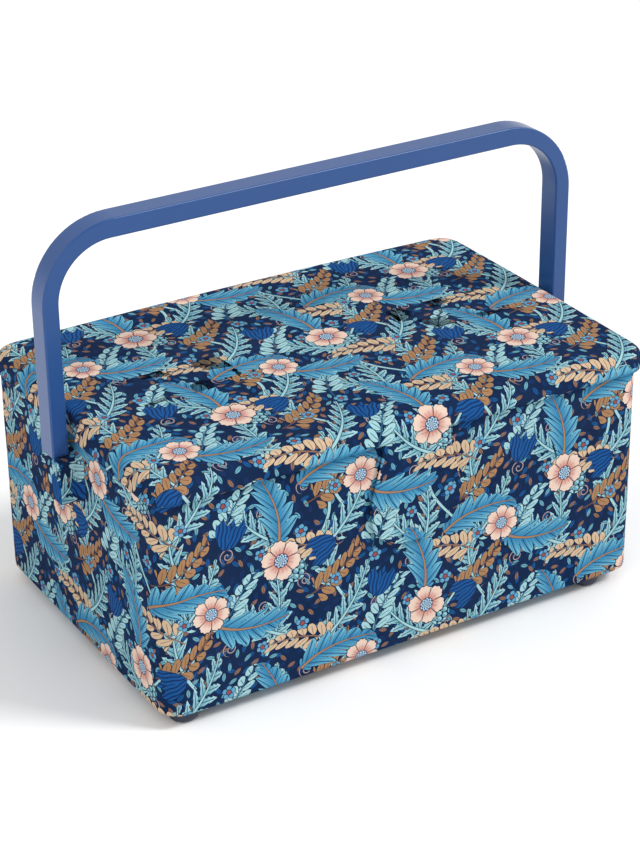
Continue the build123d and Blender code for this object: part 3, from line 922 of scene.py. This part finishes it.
def tab_cloth():
    """The tab: a stiffened double cloth, a little domed, with a turned and pressed edge."""
    even = np.linspace(0.0, 1.0, 45)
    drops = 0.4 + (TAB_LENGTH - 0.4) * np.sin(even * math.pi / 2) ** 0.9
    drops = np.concatenate([(-2.4, -1.6, -0.8, -0.1), drops])
    shares = np.linspace(-1.0, 1.0, 31)
    front = []
    flat = []
    thick = TAB_BACK - TAB_FRONT
    for drop in drops:
        half = float(tab_half(min(drop, TAB_LENGTH - 0.02)))
        x = np.sin(shares * math.pi / 2) * half
        to_edge = np.minimum(half - np.abs(x), TAB_LENGTH - drop)
        front.append(with_last(with_last(x, to_edge), -drop))
        flat.append(with_last(x, WALL_TOP_V - drop))
    front = np.array(front)
    half_edge = 0.75
    rim = TAB_FRONT + half_edge
    round_in = np.sqrt(1 - (1 - np.clip(front[..., 1] / 1.4, 0.0, 1.0)) ** 2)
    undercut = np.interp(front[..., 1], (0.0, 0.3, 0.7, 6.0), (0.0, 0.85, 1.33, thick - half_edge))
    tongue = np.clip((-front[..., 2] + 0.1) / 4.0, 0.12, 1.0)
    dome = ripple(front[..., 0] * 3, front[..., 2] * 3, 0.08, 5.0)
    outer = front.copy()
    outer[..., 1] = rim - round_in * (half_edge + dome)
    outer[..., 2] = LID_BOTTOM + front[..., 2]
    inner = outer.copy()
    inner[..., 1] = rim + undercut * tongue
    face = skin_mesh("tab_front", outer[::-1], flat[::-1], closed=False)
    back = skin_mesh("tab_back", inner, flat, closed=False)
    piece = add_piece("tab_cloth", welded(face, back), "printed_cloth")
    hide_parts("tab_cover")
    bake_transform(piece)


# The cloth hinge
HINGE_HALF = 135.0
HINGE_BELOW = 13.5
HINGE_ABOVE = 6.5


def thickened(piece, thickness):
    """A thin cloth given its thickness, in metres, behind its face."""
    solidify = piece.modifiers.new("thickness", "SOLIDIFY")
    solidify.thickness = thickness
    solidify.offset = -1.0
    apply_modifiers(piece)


def hinge_cloth():
    """A strip glued to the wall's back and the lid's back, creased between them."""
    low = LID_BOTTOM - HINGE_BELOW
    high = LID_BOTTOM + HINGE_ABOVE
    heights = spaced(low, LID_BOTTOM - 3.0, 1.5) + spaced(LID_BOTTOM - 3.0, LID_BOTTOM + 3.0, 0.5)
    heights += spaced(LID_BOTTOM + 3.0, high, 1.5) + [high]
    lengths = np.linspace(HINGE_HALF, -HINGE_HALF, 91)
    grid = []
    flat = []
    for z in heights:
        dent = 0.25 * math.exp(-((z - LID_BOTTOM) / 0.8) ** 2)
        edge = min(1.0, (z - low) / 0.8, (high - z) / 0.8)
        y = HALF_DEPTH + 0.25 + 0.5 * max(edge, 0.0) ** 0.5 - dent + ripple(lengths, z, 0.05, 4.0)
        grid.append(with_last(with_last(lengths, y), z))
        flat.append(with_last(-lengths, z))
    mesh = skin_mesh("hinge_cloth", grid, flat, closed=False)
    piece = add_piece("hinge_cloth", mesh, "printed_cloth")
    thickened(piece, 0.00055)
    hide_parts("hinge_lower", "hinge_upper")
    y = (HALF_DEPTH + 0.8 + CENTRING) * MM
    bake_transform(piece)


def apply_modifiers(piece):
    """The piece's mesh as its modifiers leave it."""
    bpy.context.view_layer.update()
    graph = bpy.context.evaluated_depsgraph_get()
    made = bpy.data.meshes.new_from_object(piece.evaluated_get(graph))
    piece.modifiers.clear()
    piece.data = made


# The fabric-covered handle brackets
def pocket_polygon():
    """The slot that the handle's tang sweeps, in the Y-Z plane about the pivot."""
    half = 4.3
    reach = BRACKET_RISE + BRACKET_BACK
    limit = math.radians(FOLD_LIMIT)
    points = arc((0.0, 0.0), half, 180.0, 360.0 - FOLD_LIMIT, 8)
    last = points[-1]
    points.append((last[0] + math.sin(limit) * reach, last[1] + math.cos(limit) * reach))
    return points + [(2 * reach, reach), (-half, reach)]


def bracket_polygon(grow, steps=6):
    """The bracket's outline: its top is rounded about the pivot, where the leg swings over."""
    top = BRACKET_RISE + grow
    bottom = -BRACKET_FOOT - grow
    front = -BRACKET_FRONT - grow
    back = BRACKET_BACK + grow
    edge = 2.5
    heel = 4.0
    points = arc((back - heel, bottom + heel), heel, -90.0, 0.0, steps)
    points += arc((0.0, 0.0), top, math.degrees(math.acos(back / top)), 90.0, steps)
    points += arc((front + edge, top - edge), edge, 90.0, 180.0, steps)
    return points + arc((front + edge, bottom + edge), edge, 180.0, 270.0, steps)


def prism(name, sections):
    """A closed solid through outlines given as (x, polygon of y and z)."""
    count = len(sections[0][1])
    points = []
    for x, polygon in sections:
        points += [(x, y, PIVOT_HEIGHT + z) for y, z in polygon]
    faces = []
    for s in range(len(sections) - 1):
        for k in range(count):
            corners = ((s, k), (s, k + 1), (s + 1, k + 1), (s + 1, k))
            faces.append([section * count + place % count for section, place in corners])
    faces.append(list(range(count))[::-1])
    faces.append(list(range(len(points) - count, len(points))))
    mesh = bpy.data.meshes.new(name)
    mesh.from_pydata(in_frame(points).tolist(), [], faces)
    return placed(name, mesh)


def bracket_cloth(side_name, sign):
    """Cloth drawn over a handle bracket, softened at its edges and open for the tang."""
    near = HALF_LENGTH - 0.4
    edge = 1.8
    flare = ((0.0, 1.4), (1.4, 0.6), (3.0, 0.1))
    sections = [(near + out, bracket_polygon(grow)) for out, grow in flare]
    sections += [(HALF_LENGTH + out, bracket_polygon(0.0)) for out in (4.0, 7.0, 10.0)]
    for k in range(1, 6):
        turn = math.radians(18 * k)
        polygon = bracket_polygon(-edge + edge * math.cos(turn))
        sections.append((LEG_OUTER - edge + edge * math.sin(turn), polygon))
    if sign < 0:
        sections = [(-x, polygon[::-1]) for x, polygon in sections]
    body = prism(f"bracket_cloth_{side_name}", sections)
    swept = pocket_polygon()[::int(sign)]
    slot = prism("tang_slot", [(sign * x, swept) for x in TANG_SLOT])
    cut = body.modifiers.new("slot", "BOOLEAN")
    cut.operation = "DIFFERENCE"
    cut.solver = "EXACT"
    cut.object = slot
    apply_modifiers(body)
    bpy.data.objects.remove(slot)
    mesh = body.data
    corners = []
    for face in mesh.polygons:
        for loop in face.loop_indices:
            x, y, z = (mesh.vertices[mesh.loops[loop].vertex_index].co / MM)[:]
            out = abs(x) - HALF_LENGTH
            u = sign * (2 * HALF_LENGTH + y)
            v = z + WALL_TOP_V - RIM
            if abs(face.normal.x) <= 0.6:
                if abs(face.normal.z) > 0.7:
                    v += out * math.copysign(1.0, face.normal.z)
                else:
                    u += out
            corners.append((u, v))
    set_cloth(mesh, corners)
    mesh.materials.append(MATERIALS["printed_cloth"])
    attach(body, "box")
    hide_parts(f"bracket_cover_{side_name}")


# Inside the box
def wall_lining_cloth():
    """The lining inside the wall, with a rounded top edge."""
    back = 5.0
    face = WALL
    low = BASE_TOP
    high = RIM - 0.1
    middle = (back + face) / 2
    edge = (face - back) / 2
    profile = [(back, low)] + [(back, z) for z in spaced(low, high - 0.6, 20.0)[1:]]
    profile += arc((middle, high - edge), edge, 180.0, 0.0, 6)
    profile += [(face, z) for z in spaced(high - 1.0, low, 5.0)[1:]] + [(face, low)]
    around = along_ring(plan_ring(HALF_LENGTH, HALF_DEPTH, CORNER)[0])

    def swell(inset, z):
        if inset > middle and low + 3 < z < high - 4:
            return ripple(around[:-1] * 1.3, z, 0.3, 6.0)
        return 0.0

    piece = wall_skin("wall_lining_cloth", profile, around, 0.0, swell, "lining_cloth")
    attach(piece, "box")
    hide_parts("wall_lining")


def pad(name, half_x, half_y, corner, low, high, edge, finish, facing, puff=0.0, centre=(0.0, 0.0)):
    """A flat pad with soft edges. Facing is 1 where its face looks up and -1 where it looks down."""
    def ring_at(inset):
        ring, _ = plan_ring(half_x - inset, half_y - inset, max(corner - inset, 0.0))
        return ring + centre

    base, face = (low, high) if facing > 0 else (high, low)
    rows = [(0.6, base), (0.0, base + 0.6 * facing)]
    for k in range(1, 7):
        turn = math.radians(15 * k)
        rows.append((edge - edge * math.cos(turn), face - facing * edge * (1 - math.sin(turn))))
    shortest = min(half_x, half_y)
    rows += [(inset, face) for inset in np.linspace(edge, shortest, 14)[1:]]
    grid = []
    cloth = []
    for inset, z in rows:
        ring = ring_at(inset)
        share = np.clip((inset - edge) / (shortest * 0.6), 0.0, 1.0)
        lift = facing * puff * math.sin(share * math.pi / 2)
        level = z + lift + ripple(ring[:, 0], ring[:, 1], 0.12, 8.0) * share
        grid.append(with_last(ring, level))
        cloth.append(np.vstack([ring, ring[:1]]))
    base_ring = ring_at(shortest)
    grid.insert(0, with_last(base_ring, base))
    cloth.insert(0, np.vstack([base_ring, base_ring[:1]]))
    if facing < 0:
        grid = grid[::-1]
        cloth = cloth[::-1]
    return add_piece(name, welded(skin_mesh(name, grid, cloth)), finish)


def plan_pad(name, inset, corner, low, high, edge, finish, facing, puff=0.0):
    """A pad over the box's whole plan, drawn in by an inset."""
    half_x = HALF_LENGTH - inset
    half_y = HALF_DEPTH - inset
    return pad(name, half_x, half_y, corner, low, high, edge, finish, facing, puff)


def base_lining_pad():
    """The padded lining on the base board."""
    high = BASE_TOP + 1.8
    piece = plan_pad("base_lining_pad", WALL, CORNER - WALL, BASE_TOP, high, 1.0, "lining_cloth", 1, 0.2)
    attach(piece, "box")
    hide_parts("base_lining")


def lid_lining_pad():
    """The padded lining under the lid board."""
    corner = CORNER - LINING_INSET
    high = LID_BOTTOM + 0.7
    piece = plan_pad("lid_lining_pad", LINING_INSET, corner, LINING_FACE, high, 1.2, "lining_cloth", -1)
    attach(piece, "lid")
    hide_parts("lid_lining")


def swelled(piece, voxel, cap, flat_face):
    """The piece puffed up by a short cloth simulation, no point moved further than the cap."""
    remesh = piece.modifiers.new("even_mesh", "REMESH")
    remesh.mode = "VOXEL"
    remesh.voxel_size = voxel
    apply_modifiers(piece)
    start = point_array(piece.data)
    cloth = piece.modifiers.new("cloth", "CLOTH")
    cloth.settings.use_pressure = True
    cloth.settings.uniform_pressure_force = 4.0
    cloth.settings.effector_weights.gravity = 0.0
    for step in range(1, 21):
        bpy.context.scene.frame_set(step)
    graph = bpy.context.evaluated_depsgraph_get()
    move = point_array(piece.evaluated_get(graph).data) - start
    piece.modifiers.clear()
    bpy.context.scene.frame_set(1)
    length = np.maximum(np.linalg.norm(move, axis=1, keepdims=True), 1e-9)
    place = start + move * np.minimum(1.0, cap / length)
    place[:, 2] = np.minimum(place[:, 2], flat_face)
    piece.data.vertices.foreach_set("co", place.ravel())
    smooth = piece.modifiers.new("smooth", "SUBSURF")
    smooth.levels = 1
    apply_modifiers(piece)
    piece.data.shade_smooth()


def point_array(mesh):
    """The mesh's points as rows of an array."""
    places = np.empty(3 * len(mesh.vertices))
    mesh.vertices.foreach_get("co", places)
    return places.reshape(-1, 3)


# The pin cushion under the lid, before the simulation puffs it up
CUSHION_HALF_X = 40.6
CUSHION_HALF_Y = 26.6
CUSHION_CORNER = 12.0
CUSHION_CENTRE = (82.0, 4.0)
CUSHION_LOW = 124.4
CUSHION_HIGH = 131.1


def pin_cushion_pad():
    """A stuffed cushion: a smaller pad that a short cloth simulation puffs up."""
    piece = pad(
        "pin_cushion_pad", CUSHION_HALF_X, CUSHION_HALF_Y, CUSHION_CORNER, CUSHION_LOW, CUSHION_HIGH,
        3.2, "cushion_cloth", -1, centre=CUSHION_CENTRE,
    )
    swelled(piece, 0.002, 0.0016, (CUSHION_HIGH + 0.05) * MM)
    mesh = piece.data
    if not mesh.materials:
        mesh.materials.append(MATERIALS["cushion_cloth"])
    while mesh.uv_layers:
        mesh.uv_layers.remove(mesh.uv_layers[0])
    corner_points = np.empty(len(mesh.loops), np.int32)
    mesh.loops.foreach_get("vertex_index", corner_points)
    places = point_array(mesh)[corner_points] / MM
    set_cloth(mesh, places[:, :2] + 0.7 * places[:, 2:])
    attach(piece, "lid")
    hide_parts("pin_cushion")


# The gathered pocket under the lid
POUCH_X = -55.0
POUCH_HALF = 65.0
POUCH_FRONT = -33.0
POUCH_BACK = 41.0


def pouch_depth(x, y):
    """How far the pocket's cloth stands off the lining."""
    side = 1.0 - np.abs((x - POUCH_X) / POUCH_HALF) ** 6
    along = np.clip((y - POUCH_FRONT) / (POUCH_BACK - POUCH_FRONT), 0.0, 1.0)
    rise = np.sin(np.minimum(1.0, along / 0.32) * math.pi / 2)
    gather = 0.75 * np.cos((x - POUCH_X) * 0.82 + 0.8 * np.sin(y * 0.06)) * along ** 1.5 * side
    crease = 0.35 * np.cos((x - POUCH_X) * 0.37 + 1.0) * along * side
    return 0.5 + np.maximum(side, 0.0) * rise * 5.2 + gather + crease


def pouch_skin(name, xs, rows, cloth_xs, stretch, finish):
    """Cloth laid over the pouch. Each row has its y and how far it stands off the pouch's form."""
    grid = []
    cloth = []
    for y, off in rows:
        z = LINING_FACE - off - pouch_depth(xs, y)
        grid.append(with_last(with_last(xs, y), z)[::-1])
        cloth.append(with_last(cloth_xs, y * stretch)[::-1])
    return add_piece(name, skin_mesh(name, grid, cloth, closed=False), finish)


def pocket_cloth():
    """A gathered cloth pouch, sewn down on three sides and open towards the hinge."""
    xs = np.linspace(POUCH_X - POUCH_HALF, POUCH_X + POUCH_HALF, 241)
    rows = [(y, 0.2) for y in np.linspace(POUCH_FRONT, POUCH_BACK, 61)]
    piece = pouch_skin("pocket_cloth", xs, rows, (xs - POUCH_X) * 1.25, 1.1, "lining_cloth")
    thickened(piece, 0.0006)
    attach(piece, "lid")
    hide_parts("lid_pocket")


def pocket_band():
    """The elastic band that gathers the pocket's mouth."""
    half = POUCH_HALF - 8.0
    xs = np.linspace(POUCH_X - half, POUCH_X + half, 181)
    ys = np.linspace(POUCH_BACK - 6.0, POUCH_BACK, 7)
    rows = [(y, 0.55 if y in (ys[0], ys[-1]) else 0.9) for y in ys]
    piece = pouch_skin("pocket_band", xs, rows, xs, 2.0, "elastic")
    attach(piece, "lid")
    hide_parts("pocket_elastic")


def base_sheet():
    """The dark cloth that covers the underside inside the turned hem."""
    piece = plan_pad("base_sheet", 14.6, 2.0, BASE - 0.4, BASE + 0.6, 0.4, "base_cloth", -1)
    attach(piece, "box")
    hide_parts("base_cover")


wall_cloth()
lid_cloth()
tab_cloth()
hinge_cloth()
bracket_cloth("right", 1.0)
bracket_cloth("left", -1.0)
wall_lining_cloth()
base_lining_pad()
base_sheet()
lid_lining_pad()
pin_cushion_pad()
pocket_cloth()
pocket_band()


# Floor, light and camera
def floor():
    """A wide pale floor under the box."""
    size = 30.0
    mesh = bpy.data.meshes.new("floor")
    corners = [(-size, -size, 0.0), (size, -size, 0.0), (size, size, 0.0), (-size, size, 0.0)]
    mesh.from_pydata(corners, [], [(0, 1, 2, 3)])
    plane = placed("floor", mesh)
    net = Net("floor_paint")
    soft = net.noise(net.solid_place(), 0.002, 2.0)
    mesh.materials.append(net.finished({
        "Base Color": mix(soft, srgb(250, 250, 250), srgb(253, 253, 253)),
        "Roughness": 0.9,
        "Specular IOR Level": 0.1,
    }))


def light(kind, name, place, power):
    """A soft light that points at the box."""
    made = bpy.data.lights.new(name, kind)
    made.energy = power
    if kind == "SUN":
        made.angle = math.radians(16.0)
    else:
        made.size = 1.6
    lamp = placed(name, made)
    lamp.location = place
    lamp.rotation_mode = "QUATERNION"
    lamp.rotation_quaternion = (Vector((0.0, 0.0, 0.1)) - Vector(place)).to_track_quat("-Z", "Y")


def studio():
    """Plain white surroundings, a soft key light and a fill light."""
    world = bpy.data.worlds.new("studio")
    bpy.context.scene.world = world
    world.use_nodes = True
    background = world.node_tree.nodes["Background"]
    background.inputs["Color"].default_value = (1.0, 1.0, 1.0, 1.0)
    background.inputs["Strength"].default_value = 0.74
    light("SUN", "key", (1.2, -1.0, 1.8), 1.7)
    light("AREA", "fill", (-1.6, -0.9, 1.3), 9.0)
    bpy.context.scene.view_settings.view_transform = "Standard"


# The camera that took the photograph, as fitted to the box's corners in it
CAMERA_PLACE = (-0.59412, -0.99982, 0.68991)
CAMERA_AZIMUTH = -30.764
CAMERA_ELEVATION = 27.012
CAMERA_ROLL = -0.686
CAMERA_LENS = 99.15


def camera():
    """The camera at the photograph's place and turn."""
    lens = bpy.data.cameras.new("camera")
    lens.sensor_width = 36.0
    lens.lens = CAMERA_LENS
    eye = placed("camera", lens)
    turn = Matrix.Rotation(math.radians(CAMERA_AZIMUTH), 4, "Z")
    turn @= Matrix.Rotation(math.radians(90.0 - CAMERA_ELEVATION), 4, "X")
    turn @= Matrix.Rotation(math.radians(CAMERA_ROLL), 4, "Z")
    eye.matrix_world = Matrix.Translation(CAMERA_PLACE) @ turn
    bpy.context.scene.camera = eye


floor()
studio()
camera()
